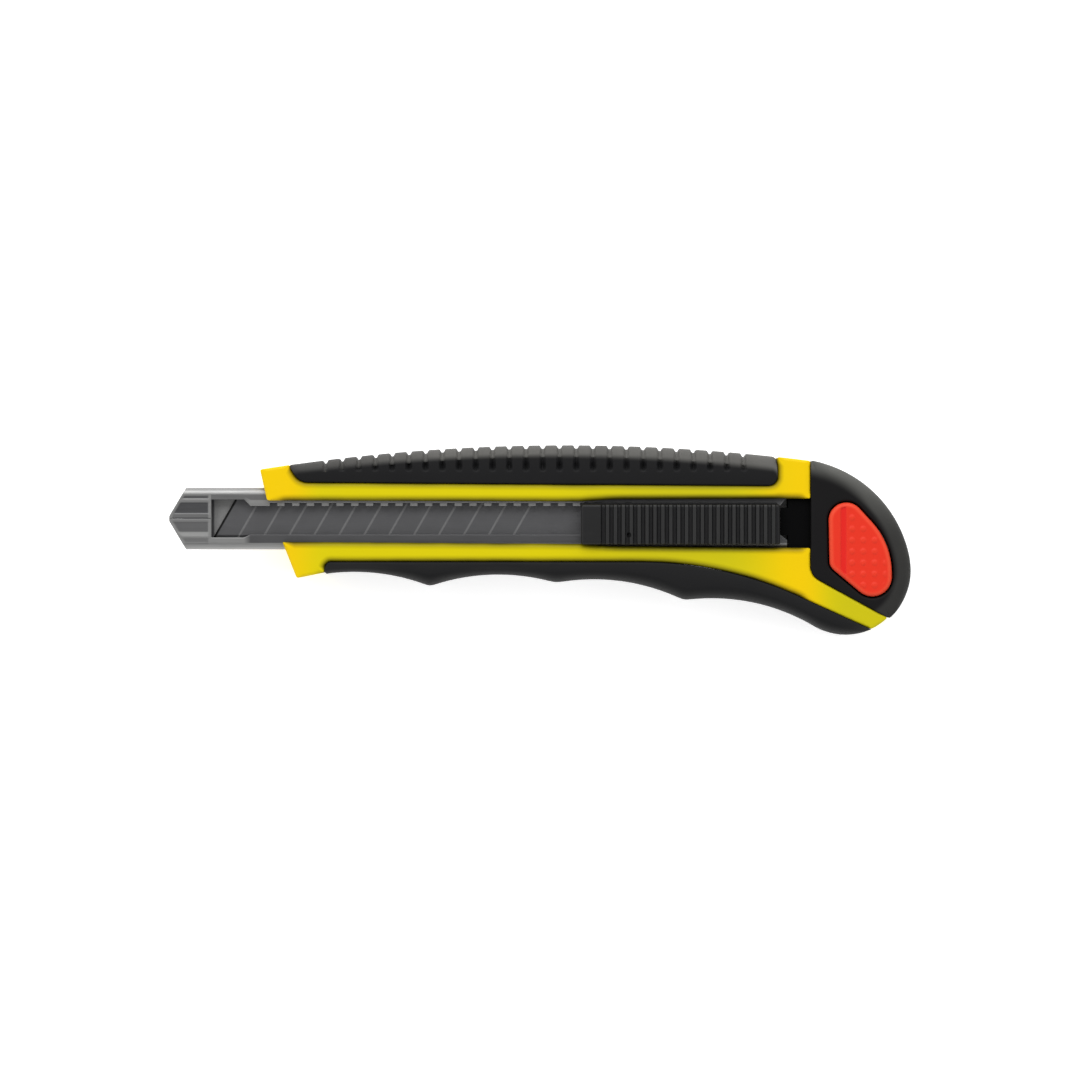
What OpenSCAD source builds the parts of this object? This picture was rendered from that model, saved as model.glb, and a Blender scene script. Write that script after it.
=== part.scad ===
// Snap-off knife for 9 mm blades, lying on its back.
// +X runs from the nose to the tail, +Y towards the spine, +Z out of the slider side.
// All sizes are in millimetres. The origin is under the middle of the knife, on the back face.

/* [Handle] */
// Thickness over the rubber grips
thickness = 13.2; // [13:0.1:13.8]
// How far the rubber stands above the yellow shells
grip_proud = 0.3; // [0.2:0.05:0.4]
// Depth of the rubber in the face of a shell
grip_face = 1.2; // [1:0.1:1.3]
// Depth of the rubber on the edge of a shell
grip_edge = 2; // [1.6:0.1:2.2]
// Radius of the long spine curve
spine_r = 385; // [380:1:390]
// Height of the spine above the middle of the knife
spine_top = 19; // [18.9:0.1:19.2]
// Radius of each finger scallop
finger_r = 41; // [40.5:0.1:41.5]
// Radius of the rounded heel below the cap
heel_r = 11.8; // [11.6:0.1:11.9]

/* [Spine ribs] */
// Number of grooves across the spine
groove_count = 26; // [20:1:26]
// Distance from groove to groove
groove_pitch = 3.35; // [3.3:0.01:3.4]
// Width of one groove
groove_w = 1.1; // [0.9:0.1:1.3]
// Depth of one groove
groove_d = 0.7; // [0.5:0.1:0.9]

/* [Blade] */
// Width of the blade strip
blade_w = 9; // [8.9:0.1:9.1]
// Length of a new blade
blade_l = 80; // [79:0.5:80.5]
// Thickness of the blade
blade_t = 0.4; // [0.36:0.02:0.4]
// Distance between two snap lines
snap_pitch = 5; // [4.9:0.1:5]
// Number of snap lines
snap_lines = 12; // [8:1:12]
// Angle of the snap lines
snap_angle = 60; // [59:1:61]

/* [Rail] */
// Width of the steel rail
rail_w = 12.4; // [12.3:0.1:12.4]
// Height of the steel rail
rail_h = 3.6; // [3.5:0.1:3.6]
// Thickness of the sheet
sheet = 0.7; // [0.6:0.05:0.7]
// Distance from tooth to tooth along the upper lip
tooth_pitch = 2.96; // [2.94:0.01:2.98]
// Number of teeth
tooth_count = 26; // [26:1:27]

/* [Slider and cap] */
// Length of the thumb pad
pad_l = 39.8; // [39:0.1:39.8]
// Number of ribs on the thumb pad
pad_ribs = 22; // [16:1:22]
// Travel of the release button
button_travel = 1.2; // [1:0.1:1.2]
// Gap between the end cap and the handle
cap_gap = 0.2; // [0.15:0.05:0.3]

/* [Hidden] */

yellow = [0.93, 0.80, 0.05];
rubber = [0.16, 0.16, 0.16];
black = [0.10, 0.10, 0.11];
steel = [0.55, 0.55, 0.57];
red = [0.92, 0.22, 0.14];

split = thickness / 2;
shell_back = grip_proud;
shell_front = thickness - grip_proud;
wall = 1.6;

// Centres of the big curves of the side view
spine_x = 5;
tail_c = [50.1, -8.1];
tail_r = 24.4;
chin_c = [61.6, -6.1];
chin_r = 12.7;
heel_c = [61.2, -7.2];
// Middle and highest point of each finger scallop
scallops = [[-37.2, -6.4], [-8.4, -6.95], [10.8, -7.9], [34.4, -11.7]];
// Where the upper edge of the finger grip starts to curve down, and how far it turns
grip_bend = [20, -4.4];
grip_bend_r = 77;
grip_bend_turn = 25.4;
big = 720;

// Rail and blade, side view
nose_x = -74.3;
nose_flat = 0.5;
shoulder_x = -70.9;
rail_end = 49.5;
mid_y = 4.3;
rail_y0 = mid_y - rail_w / 2;
rail_y1 = mid_y + rail_w / 2;
flap_end = -65.9;
window_end = -59.3;
lip_y0 = 1.1;
tooth_root_y = 7.45;
tooth_tip_y = 6.8;
first_tooth = -54.86;
tooth_w = 1.45;
seam_w = 0.3;
rail_bend = 1.3;
panel_x0 = -72.6;
panel_x1 = -66.6;
panel_w = 2.9;
panel_mid = 2.15;
panel_border = 0.5;
press_depth = 0.45;

// Heights of the layers in the rail, from the back plate out
rail_z = 7.7;
rail_top = rail_z + rail_h;
blade_z = rail_z + sheet + 0.05;
carrier_z = blade_z + blade_t + 0.1;
carrier_top = rail_top - sheet - 0.15;
pad_z = rail_top + 0.15;
pad_head_z = shell_front + 0.15;
pad_top = thickness + 1.1;
channel_top = rail_top + 0.05;
tray_top = rail_z - 0.05;

// Blade, side view
blade_tip = -66;
blade_y0 = mid_y - blade_w / 2;
snap_run = blade_w / tan(snap_angle);
bevel_w = 1.2;
score_w = 0.14;
score_d = 0.1;
hole_r = 1.1;
pin_r = 1;
pin_x = blade_tip + blade_l - 4;

// Thumb pad
pad_x = 8.2;
pad_y0 = -0.9;
pad_y1 = 7.1;
pad_smooth = 4.9;
pad_rib_pitch = 1.58;
pad_rib_w = 0.8;
pad_rib_h = 0.55;

// Tooth gap that the lock spring drops into, and the place of its rivet
lock_x = first_tooth + (tooth_count - 2.5) * tooth_pitch;
spring_x = 24.8;
rivet_y = 5.2;

// Screws in the back: centre of each one
screws = [[-29, 13], [9, 13.9], [40, 13], [47, -6.2]];
screw_r = 1.1;
screw_head_r = 1.9;

// Red button and its latch
flange_z = 10.3;
flange_t = 0.7;
flange_w = 0.9;
well_top = flange_z + flange_t + 0.1;
latch_z = 9.4;
latch_t = 0.3;
latch_y = 2;

// Tongue of the shells that the end cap slides over
cap_x = 54.1;
tongue_end = 60.5;
tongue_y0 = -3.6;
tongue_y1 = 11.6;
tongue_z0 = 2.2;
tongue_z1 = flange_z - button_travel - 0.3;
tray_x = -30;
tray_y0 = rail_y0 + 0.3;
tray_y1 = rail_y1 - 0.3;
tray_z0 = 2.2;
tray_wall = 0.9;

// Points along an arc about c, from angle a0 to a1
function arc(c, r, a0, a1, steps) =
    [for (i = [0 : steps]) let (a = a0 + (a1 - a0) * i / steps) c + r * [cos(a), sin(a)]];

// Height of the spine curve at x
function spine_y(x) = spine_top - spine_r + sqrt(pow(spine_r, 2) - pow(x - spine_x, 2));

// ---------- outlines, side view ----------

// Everything under the spine curve, drawn in by inset
module under_spine(inset) {
    translate([spine_x, spine_top - spine_r])
        circle(r = spine_r - inset, $fn = big);
}

// The discs that cut the finger scallops, grown by inset
module scallop_discs(inset) {
    for (s = scallops)
        translate([s[0], s[1] - finger_r])
            circle(r = finger_r + inset, $fn = big / 2);
}

// Handle without the end cap
module handle_outline(inset = 0) {
    difference() {
        union() {
            intersection() {
                under_spine(inset);
                polygon([
                    [-57.3, 19.5], [-54.7, 8.2], [-51.6, -0.4], [-48.7, -7.65], [-43.1, -6.5],
                    [-43.1, -19], [54, -19], [55.9, -17.75], heel_c, [cap_x, -5.5], [cap_x, 19.5]
                ]);
            }
            translate(heel_c)
                circle(r = heel_r - inset, $fn = 180);
        }
        scallop_discs(inset);
        cap_zone(0, 0);
    }
}

// The region behind and above the seam between the handle and the cap
module cap_zone(right, up) {
    translate([right, up])
        polygon([
            [cap_x, 25], [cap_x, -5.8], [54.7, -7.2], [55.9, -8.1], [69.8, -15.7], [90, -26.7], [90, 25]
        ]);
}

// Tail of the knife: a large arc that runs into a small one
module tail_outline() {
    intersection() {
        translate(tail_c)
            circle(r = tail_r, $fn = 360);
        polygon([tail_c, tail_c + 3 * (chin_c - tail_c), [90, 25], [tail_c[0], 25]]);
    }
    translate(chin_c)
        circle(r = chin_r, $fn = 180);
}

// Region of the spine grip
module spine_zone() {
    polygon([
        [-50.6, 20], [-50, 14.6], [-49.2, 13.1], [-48.3, 12.1], [-47, 11.6],
        [46, 10.9], [47, 11.3], [47.5, 12.3], [47.5, 20]
    ]);
}

// Region of the finger grip
module finger_zone() {
    polygon(concat(
        [[-43.1, -20], [-43.1, -5.2], [-42.3, -4.4]],
        arc(grip_bend - [0, grip_bend_r], grip_bend_r, 90, 90 - grip_bend_turn, 12),
        [[66.5, -18], [66.5, -20]]
    ));
}

// Slot for the slider in the front shell
module slider_slot() {
    polygon([
        [-60, 7.9], [-60, -0.35], [-51.6, -0.35], [8, -0.75], [14, -1.6], [48, -2],
        [cap_x + 1, -2], [cap_x + 1, 8.3], [14, 8.1], [8, 7.7], [-54.5, 7.9]
    ]);
}

// D-shaped outline of the button, grown by grow
module button_outline(grow = 0) {
    hull() {
        translate([61.3, 3.95])
            circle(r = 3.55 + grow, $fn = 32);
        translate([66.5, -7.4])
            circle(r = 3.9 + grow, $fn = 32);
        translate([60.3, -4.2])
            circle(r = 2.4 + grow, $fn = 32);
        translate([55.3, -6.6])
            intersection() {
                circle(r = 15.1 + grow, $fn = 96);
                translate([9, 0])
                    square([8, 12]);
            }
    }
}

// ---------- shells and grips ----------

// Parts of the face that stay yellow
module yellow_face() {
    difference() {
        handle_outline();
        spine_zone();
        finger_zone();
    }
}

// Hollow above the rail channel, with a boss left round each screw
module spine_pocket() {
    difference() {
        intersection() {
            under_spine(grip_edge + wall);
            translate([-44, rail_y1 + wall])
                square([96, 8]);
        }
        for (s = screws)
            translate(s)
                circle(r = 3.1, $fn = 32);
    }
}

// Channel that holds the rail and the tray
module rail_channel(z0, z1) {
    translate([-62, rail_y0 - 0.05, z0])
        cube([62 + tongue_end + 1, rail_w + 0.1, z1 - z0]);
}

// Core that the rubber is moulded on, joined to the yellow face, from z0 to z1
module shell_solid(z0, z1, core_z0, core_z1) {
    translate([0, 0, z0])
        linear_extrude(z1 - z0)
            yellow_face();
    translate([0, 0, core_z0])
        linear_extrude(core_z1 - core_z0)
            handle_outline(grip_edge);
}

// Half of the tongue, from z0 to z1
module tongue(z0, z1) {
    translate([cap_x - 2, tongue_y0, z0])
        cube([tongue_end - cap_x + 2, tongue_y1 - tongue_y0, z1 - z0]);
}

module front_shell() {
    color(yellow)
        difference() {
            union() {
                shell_solid(split, shell_front, split, thickness - grip_face);
                tongue(split, tongue_z1);
            }
            rail_channel(split - 1, tray_top + 0.05);
            translate([-62, rail_y0 - 0.05, split])
                cube([62 + cap_x, rail_w + 0.1, channel_top - split]);
            translate([0, 0, channel_top - 1])
                linear_extrude(thickness)
                    slider_slot();
            translate([0, 0, split - 1])
                linear_extrude(channel_top - split)
                    spine_pocket();
            translate([58.7, -3, tongue_z1 - 0.8])
                cube([1.3, 6, 2]);
            for (s = screws)
                translate([s[0], s[1], split - 1])
                    cylinder(r = screw_r + 0.02, h = 4.5, $fn = 32);
        }
}

module back_shell() {
    color(yellow)
        difference() {
            union() {
                shell_solid(shell_back, split, grip_face, split);
                tongue(tongue_z0, split);
                translate([-50, rail_y0, split - 1])
                    cube([50 + tray_x - 0.3, rail_w, tray_top - split + 1]);
            }
            translate([tray_x - 0.2, tray_y0 - 0.1, tray_z0])
                cube([tongue_end + 1 - tray_x, tray_y1 - tray_y0 + 0.2, split]);
            translate([0, 0, 2 * wall])
                linear_extrude(split)
                    spine_pocket();
            for (s = screws)
                translate([s[0], s[1], 0]) {
                    translate([0, 0, -1])
                        cylinder(r = screw_r + 0.15, h = thickness, $fn = 32);
                    translate([0, 0, -1])
                        cylinder(r = screw_head_r + 0.1, h = 1 + shell_back + 2.2, $fn = 32);
                }
        }
}

// Grooves across the spine: one box down the face and one across the edge for each
module spine_grooves() {
    for (i = [0 : groove_count - 1]) {
        x = -43 + i * groove_pitch;
        translate([x - groove_w / 2, 14, thickness - groove_d])
            cube([groove_w, 8, 2]);
        translate([x - groove_w / 2, spine_y(x) - groove_d, -1])
            cube([groove_w, 3, thickness + 2]);
    }
}

// Rubber laid over a shell's core, from z0 to z1
module grip_half(z0, z1, core_z0, core_z1) {
    difference() {
        translate([0, 0, z0])
            linear_extrude(z1 - z0)
                intersection() {
                    handle_outline();
                    children();
                }
        translate([0, 0, core_z0])
            linear_extrude(core_z1 - core_z0)
                handle_outline(grip_edge);
    }
}

module spine_grip_front() {
    color(rubber)
        difference() {
            grip_half(split, thickness, split - 1, thickness - grip_face)
                spine_zone();
            spine_grooves();
        }
}

module spine_grip_back() {
    color(rubber)
        difference() {
            grip_half(0, split, grip_face, split + 1)
                spine_zone();
            translate([0, 0, thickness])
                mirror([0, 0, 1])
                    spine_grooves();
            screw_holes_in_grip();
        }
}

module finger_grip_front() {
    color(rubber)
        grip_half(split, thickness, split - 1, thickness - grip_face)
            finger_zone();
}

module finger_grip_back() {
    color(rubber)
        difference() {
            grip_half(0, split, grip_face, split + 1)
                finger_zone();
            screw_holes_in_grip();
        }
}

// Openings through the back rubber for the screw heads
module screw_holes_in_grip() {
    for (s = screws)
        translate([s[0], s[1], -1])
            cylinder(r = screw_head_r + 0.1, h = 3.2, $fn = 32);
}

module body_screws() {
    color(steel)
        for (s = screws)
            translate([s[0], s[1], 0])
                difference() {
                    union() {
                        translate([0, 0, shell_back + 1])
                            cylinder(r = screw_head_r, h = 1.2, $fn = 32);
                        translate([0, 0, shell_back + 2])
                            cylinder(r = screw_r, h = 7.5, $fn = 32);
                    }
                    translate([-1.3, -0.25, shell_back + 0.5])
                        cube([2.6, 0.5, 1.1]);
                    translate([-0.25, -1.3, shell_back + 0.5])
                        cube([0.5, 2.6, 1.1]);
                }
}

// ---------- rail and blade ----------

// Rectangle w by h with rounded corners, its lower left corner at the origin
module rounded_rectangle(w, h, r) {
    translate([r, 0])
        square([w - 2 * r, h]);
    translate([0, r])
        square([w, h - 2 * r]);
    for (x = [r, w - r])
        for (y = [r, h - r])
            translate([x, y])
                circle(r = r, $fn = 48);
}

// Section across the rail before the gap between its lips is cut
module rail_section() {
    difference() {
        rounded_rectangle(rail_w, rail_h, rail_bend);
        translate([sheet, sheet])
            rounded_rectangle(rail_w - 2 * sheet, rail_h - 2 * sheet, rail_bend - sheet);
    }
}

// Gap between the two lips: window behind the nose, plain slot, teeth along the upper edge
module lip_gap() {
    polygon([
        [flap_end, 0.4], [window_end, 0.4], [window_end + 1.3, lip_y0], [rail_end - 1.5, lip_y0],
        [rail_end + 1, -0.6], [rail_end + 1, 9.2], [rail_end - 1.5, tooth_tip_y],
        [window_end + 1.3, tooth_tip_y], [window_end, 7.8], [flap_end, 7.8]
    ]);
    for (i = [0 : tooth_count - 2])
        translate([first_tooth + i * tooth_pitch + tooth_w / 2, tooth_tip_y - 0.5])
            square([tooth_pitch - tooth_w, tooth_root_y - tooth_tip_y + 0.5]);
}

module blade_rail() {
    color(steel)
        difference() {
            union() {
                translate([nose_x, rail_y0, rail_z])
                    rotate([90, 0, 90])
                        linear_extrude(rail_end - nose_x)
                            rail_section();
                nose_panels(panel_border / 2, -press_depth - sheet, 0.1 - sheet);
            }
            translate([0, 0, rail_top - sheet - 0.1])
                linear_extrude(2)
                    lip_gap();
            nose_panels(0, -press_depth, 1);
            translate([nose_x - 1, mid_y - seam_w / 2, rail_top - 2])
                cube([flap_end - nose_x + 2, seam_w, 3]);
            translate([0, 0, rail_z - 1])
                linear_extrude(rail_h + 2)
                    nose_cuts();
        }
}

// Two pressed panels in the closed nose, one on each side of the seam, grown sideways by grow.
// z0 and z1 are heights above the top of the rail.
module nose_panels(grow, z0, z1) {
    for (side = [-1, 1])
        translate([panel_x0 - grow, mid_y + side * panel_mid - panel_w / 2 - grow, rail_top + z0])
            cube([panel_x1 - panel_x0 + 2 * grow, panel_w + 2 * grow, z1 - z0]);
}

// What is cut away to leave the pointed nose
module nose_cuts() {
    for (side = [-1, 1])
        translate([0, mid_y])
            scale([1, side])
                polygon([
                    [nose_x - 2, nose_flat], [nose_x, nose_flat],
                    [shoulder_x, rail_w / 2 + 0.01], [shoulder_x, 9], [nose_x - 2, 9]
                ]);
}

// Side view of a blade, with its tip at the lower left
module blade_outline() {
    polygon([
        [0, 0], [snap_run, blade_w], [blade_l - 1.5, blade_w], [blade_l, blade_w - 2.6],
        [blade_l, 2.6], [blade_l - 1.5, 0]
    ]);
}

module blade_strip() {
    difference() {
        intersection() {
            linear_extrude(blade_t)
                blade_outline();
            rotate([90, 0, 90])
                linear_extrude(blade_l)
                    polygon([
                        [0, blade_t / 2], [bevel_w, 0], [blade_w, 0], [blade_w, blade_t],
                        [bevel_w, blade_t]
                    ]);
        }
        for (i = [1 : snap_lines])
            translate([i * snap_pitch, 0, blade_t - score_d])
                linear_extrude(1)
                    polygon([
                        [-0.1, -0.2], [score_w - 0.1, -0.2],
                        [snap_run + score_w + 0.1, blade_w + 0.2], [snap_run + 0.1, blade_w + 0.2]
                    ]);
        translate([blade_l - 4, blade_w / 2, -1])
            cylinder(r = hole_r, h = 3, $fn = 32);
    }
}

module blade() {
    color(steel)
        translate([blade_tip, blade_y0, blade_z])
            blade_strip();
}

// ---------- magazine ----------

module magazine_tray() {
    color(black)
        difference() {
            union() {
                translate([tray_x, tray_y0, tray_z0])
                    cube([tongue_end - tray_x, tray_y1 - tray_y0, tray_top - tray_z0]);
                translate([rail_end + 0.2, -1.8, tray_top - 1])
                    cube([cap_x - rail_end - 0.2, 10, rail_top + 1 - tray_top]);
                translate([48.2, 0.95, carrier_top - 0.4])
                    cube([3, 5.5, rail_top - carrier_top + 0.4]);
            }
            translate([tray_x + tray_wall, tray_y0 + tray_wall, tray_z0 + tray_wall])
                cube([90, tray_y1 - tray_y0 - 2 * tray_wall, tray_top - tray_z0 - 2 * tray_wall]);
            translate([tray_x + tray_wall, tray_y0 + tray_wall, tray_z0 + tray_wall])
                cube([70, tray_y1 - tray_y0 - 2 * tray_wall, 10]);
        }
}

module spare_blades() {
    color(steel)
        for (i = [0, 1])
            translate([tongue_end - 1 - blade_l, blade_y0, tray_z0 + tray_wall + 0.05 + i * (blade_t + 0.05)])
                blade_strip();
}

// Shallow arch of spring strip over the spare blades
module magazine_spring() {
    span = 56;
    rise = 3.2;
    r = (pow(span / 2, 2) + pow(rise, 2)) / (2 * rise);
    color(steel)
        translate([8, mid_y + 3, tray_z0 + tray_wall + 2 * blade_t + 0.2])
            rotate([90, 0, 0])
                linear_extrude(6)
                    intersection() {
                        translate([0, rise - r])
                            difference() {
                                circle(r = r + 0.3, $fn = big);
                                circle(r = r, $fn = big);
                            }
                        translate([-span / 2, 0])
                            square([span, 4]);
                    }
}

// ---------- slider ----------

module slider_pad() {
    first_rib = pad_x + pad_smooth;
    color(black)
        difference() {
            union() {
                translate([pad_x, pad_y0, pad_head_z])
                    cube([pad_l, pad_y1 - pad_y0, pad_top - pad_rib_h - pad_head_z]);
                translate([0, 0, pad_top - pad_rib_h - 0.1]) {
                    translate([pad_x, pad_y0, 0])
                        cube([pad_smooth - 0.8, pad_y1 - pad_y0, pad_rib_h + 0.1]);
                    for (i = [0 : pad_ribs - 1])
                        translate([first_rib + i * pad_rib_pitch, pad_y0, 0])
                            cube([pad_rib_w, pad_y1 - pad_y0, pad_rib_h + 0.1]);
                }
                translate([pad_x + 0.4, 0.2, pad_z])
                    cube([pad_l - 0.8, 6.8, pad_head_z - pad_z + 0.1]);
            }
            translate([pad_x + 3, 1.2, pad_z - 1])
                cube([pad_l - 6, 5, 2]);
            translate([17.8, 1, pad_top - 1])
                cylinder(r = 0.4, h = 2, $fn = 24);
        }
}

module slider_carrier() {
    color(black)
        difference() {
            union() {
                translate([pad_x + 0.6, rail_y0 + sheet + 0.25, carrier_z])
                    cube([pad_l - 4, rail_w - 2 * sheet - 0.5, carrier_top - carrier_z]);
                translate([pad_x + 3.2, 1.3, carrier_z])
                    cube([pad_l - 6.6, 4.8, pad_z + 0.9 - carrier_z]);
            }
            translate([pad_x + 5, 4.4, carrier_top])
                cube([12.8, 3, 2]);
            translate([pin_x, mid_y, carrier_z - 1])
                cylinder(r = pin_r, h = 2.2, $fn = 32);
            translate([spring_x, rivet_y, carrier_z - 1])
                cylinder(r = 0.4, h = 4, $fn = 32);
        }
}

module blade_pin() {
    color(steel)
        translate([pin_x, mid_y, blade_z + 0.1])
            cylinder(r = pin_r, h = carrier_z + 1.2 - blade_z - 0.1, $fn = 32);
}

module lock_spring() {
    color(steel)
        translate([0, 0, rail_top - sheet + 0.1])
            linear_extrude(0.45)
                difference() {
                    polygon([
                        [lock_x - 0.4, 4.8], [lock_x - 0.4, 7.3], [lock_x + 0.4, 7.3],
                        [lock_x + 0.4, 5.4], [20, 5], [spring_x - 1, 5.9], [spring_x + 1, 5.9],
                        [spring_x + 1, 4.5], [20, 4.5]
                    ]);
                    translate([spring_x, rivet_y])
                        circle(r = 0.4, $fn = 32);
                }
}

module spring_rivet() {
    color(steel)
        translate([spring_x, rivet_y, 0]) {
            translate([0, 0, carrier_z + 0.3])
                cylinder(r = 0.4, h = rail_top - carrier_z, $fn = 32);
            translate([0, 0, rail_top - sheet + 0.6])
                cylinder(r = 0.7, h = 0.3, $fn = 32);
        }
}

// ---------- end cap ----------

module end_cap() {
    color(rubber)
        difference() {
            linear_extrude(thickness)
                intersection() {
                    tail_outline();
                    cap_zone(cap_gap, cap_gap * 0.75);
                }
            translate([cap_x - 1, tongue_y0 - 0.15, tongue_z0 - 0.15])
                cube([tongue_end - cap_x + 1.2, tongue_y1 - tongue_y0 + 0.3, tongue_z1 - tongue_z0 + 0.3]);
            translate([cap_x + 3, -6, tongue_z0 - 0.15])
                cube([10, 14, tongue_z1 - tongue_z0 + 0.3]);
            translate([0, 0, tongue_z1])
                linear_extrude(well_top - tongue_z1)
                    button_outline(flange_w + 0.15);
            translate([0, 0, tongue_z1])
                linear_extrude(thickness)
                    button_outline(0.15);
            translate([60, -latch_y, latch_z])
                cube([11.3, 2 * latch_y, latch_t]);
        }
}

module latch_spring() {
    color(steel)
        translate([0, latch_y, 0])
            rotate([90, 0, 0])
                linear_extrude(2 * latch_y)
                    polygon([
                        [71.3, latch_z], [59.5, latch_z], [59.5, tongue_z1 - 0.6],
                        [59.1, tongue_z1 - 0.6], [59.1, latch_z + latch_t], [71.3, latch_z + latch_t]
                    ]);
}

module release_button() {
    color(red)
        difference() {
            union() {
                translate([0, 0, flange_z])
                    linear_extrude(flange_t)
                        button_outline(flange_w);
                translate([0, 0, flange_z])
                    linear_extrude(thickness + 0.3 - flange_z)
                        button_outline();
                translate([65, 0, latch_z + latch_t])
                    cylinder(r = 1.2, h = flange_z - latch_z - latch_t + 0.1, $fn = 32);
            }
            translate([60, -6, thickness])
                cube([1, 14, 1]);
        }
}

front_shell();
back_shell();
spine_grip_front();
spine_grip_back();
finger_grip_front();
finger_grip_back();
blade_rail();
body_screws();
magazine_tray();
magazine_spring();
spare_blades();
slider_pad();
slider_carrier();
blade_pin();
lock_spring();
spring_rivet();
blade();
end_cap();
latch_spring();
release_button();
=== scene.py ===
"""Looks of the snap-off knife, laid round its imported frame. Sizes are in millimetres until a mesh is made."""

import bpy
import numpy as np
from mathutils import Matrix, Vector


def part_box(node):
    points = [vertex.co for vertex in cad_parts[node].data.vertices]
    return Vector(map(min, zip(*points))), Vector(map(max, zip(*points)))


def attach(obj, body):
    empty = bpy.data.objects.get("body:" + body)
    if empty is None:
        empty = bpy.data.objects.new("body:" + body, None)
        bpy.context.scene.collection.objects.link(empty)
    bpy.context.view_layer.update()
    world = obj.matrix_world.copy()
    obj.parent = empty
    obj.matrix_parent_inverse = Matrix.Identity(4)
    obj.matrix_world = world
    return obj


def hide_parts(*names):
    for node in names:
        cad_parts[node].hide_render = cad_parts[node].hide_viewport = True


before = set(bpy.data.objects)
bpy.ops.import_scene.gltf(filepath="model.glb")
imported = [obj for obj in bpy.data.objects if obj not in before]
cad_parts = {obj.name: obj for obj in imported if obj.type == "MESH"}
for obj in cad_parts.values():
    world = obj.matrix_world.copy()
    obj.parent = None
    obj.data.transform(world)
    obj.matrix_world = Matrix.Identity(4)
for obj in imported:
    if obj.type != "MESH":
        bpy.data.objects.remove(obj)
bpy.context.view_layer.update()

MM = 0.001


def millimetres(node):
    """Lowest and highest corner of a CAD node."""
    low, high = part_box(node)
    return np.array(low) / MM, np.array(high) / MM


# ---------- levels and places, read from the frame ----------

FACE_Z = millimetres("spine_grip_front")[1][2]
SPLIT_Z = millimetres("spine_grip_front")[0][2]
SHELL_TOP = millimetres("front_shell")[1][2]
SHELL_LOW = millimetres("back_shell")[0][2]
RAIL_LOW, RAIL_HIGH = millimetres("blade_rail")
PAD_LOW, PAD_HIGH = millimetres("slider_pad")
BUTTON_TOP = millimetres("release_button")[1][2]
BLADE_LOW = millimetres("blade")[0]
CAP_EDGE_X = millimetres("end_cap")[0][0] - 0.12
MID_Y = (RAIL_LOW[1] + RAIL_HIGH[1]) / 2
MID_Z = (RAIL_LOW[2] + RAIL_HIGH[2]) / 2

# Channel of the rail in the shells
CHANNEL_TOP = 11.35
CHANNEL_FLOOR = 7.65
CHANNEL_LOW = -1.95
CHANNEL_HIGH = 10.55

# Curves of the side view
SPINE_X, SPINE_TOP, SPINE_R = 5, 19, 385
SCALLOP_R = 41
SCALLOPS = np.array([(-37.2, -6.4), (-8.4, -6.95), (10.8, -7.9), (34.4, -11.7)])
SCALLOP_BLEND = 4.0
HEEL = np.array((61.2, -7.2))
HEEL_R = 11.8
HEEL_X = 55.9
TAIL = np.array((50.1, -8.1))
TAIL_R = 24.4
CHIN = np.array((61.6, -6.1))
CHIN_R = 12.7
SPINE_GRIP = np.array([
    (-50.05, 14.75), (-50, 14.6), (-49.2, 13.1), (-48.3, 12.1), (-47, 11.6),
    (46, 10.9), (47, 11.3), (47.5, 12.3),
])
SPINE_GRIP_X = (-50.05, 47.5)
FINGER_GRIP_X = (-43.1, 66.2)
FINGER_TOP = -4.4
FINGER_BEND_X, FINGER_BEND_R = 20, 77
FINGER_LINE_X = 53.03
FINGER_SLOPE = -0.4573
SEAM_GAP = 0.02


def smooth_step(low, high, value):
    """0 below low, 1 above high, and a cubic ease between them."""
    t = np.clip((value - low) / (high - low), 0, 1)
    return t * t * (3 - 2 * t)


def spine_y(x):
    """Height of the long arc over the back of the knife."""
    return SPINE_TOP - SPINE_R + np.sqrt(SPINE_R ** 2 - (x - SPINE_X) ** 2)


def belly_y(x):
    """Lower edge: a soft maximum of the finger scallops' arcs, then the arc of the heel."""
    x = np.asarray(x, float)
    reach = np.maximum(SCALLOP_R ** 2 - (x[..., None] - SCALLOPS[:, 0]) ** 2, 0)
    arcs = SCALLOPS[:, 1] - SCALLOP_R + np.sqrt(reach)
    scallops = np.log(np.exp(SCALLOP_BLEND * (arcs + 12)).sum(-1)) / SCALLOP_BLEND - 12
    heel = HEEL[1] - np.sqrt(np.maximum(HEEL_R ** 2 - (x - HEEL[0]) ** 2, 0))
    return np.where(x < HEEL_X, scallops, heel)


def spine_grip_y(x):
    """Lower edge of the spine grip: straight stretches, averaged over a short way to round their corners."""
    spread = np.linspace(-0.35, 0.35, 9)
    return np.interp(np.asarray(x)[..., None] + spread, *SPINE_GRIP.T).mean(-1)


def finger_grip_y(x):
    """Upper edge of the finger grip: level, then an arc down, then a straight fall."""
    arc_x = np.clip(x, FINGER_BEND_X, FINGER_LINE_X) - FINGER_BEND_X
    arc = FINGER_TOP - FINGER_BEND_R + np.sqrt(FINGER_BEND_R ** 2 - arc_x ** 2)
    return arc + FINGER_SLOPE * np.maximum(x - FINGER_LINE_X, 0)


def arc(centre, radius, start, end, steps=60):
    """Points on a circle from one angle to another, in degrees."""
    turn = np.radians(np.linspace(start, end, steps))
    return centre + radius * np.column_stack([np.cos(turn), np.sin(turn)])


# ---------- closed outlines ----------

STEP = 0.2


def resample(points, step=STEP):
    """Walks a closed outline anticlockwise at equal steps."""
    x, y = points.T
    if np.sum(x * np.roll(y, -1) - y * np.roll(x, -1)) < 0:
        points = points[::-1]
    loop = np.vstack([points, points[:1]])
    walked = np.concatenate([[0], np.cumsum(np.hypot(*np.diff(loop, axis=0).T))])
    stops = np.linspace(0, walked[-1], int(walked[-1] / step), endpoint=False)
    return np.column_stack([np.interp(stops, walked, loop[:, k]) for k in (0, 1)])


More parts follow.
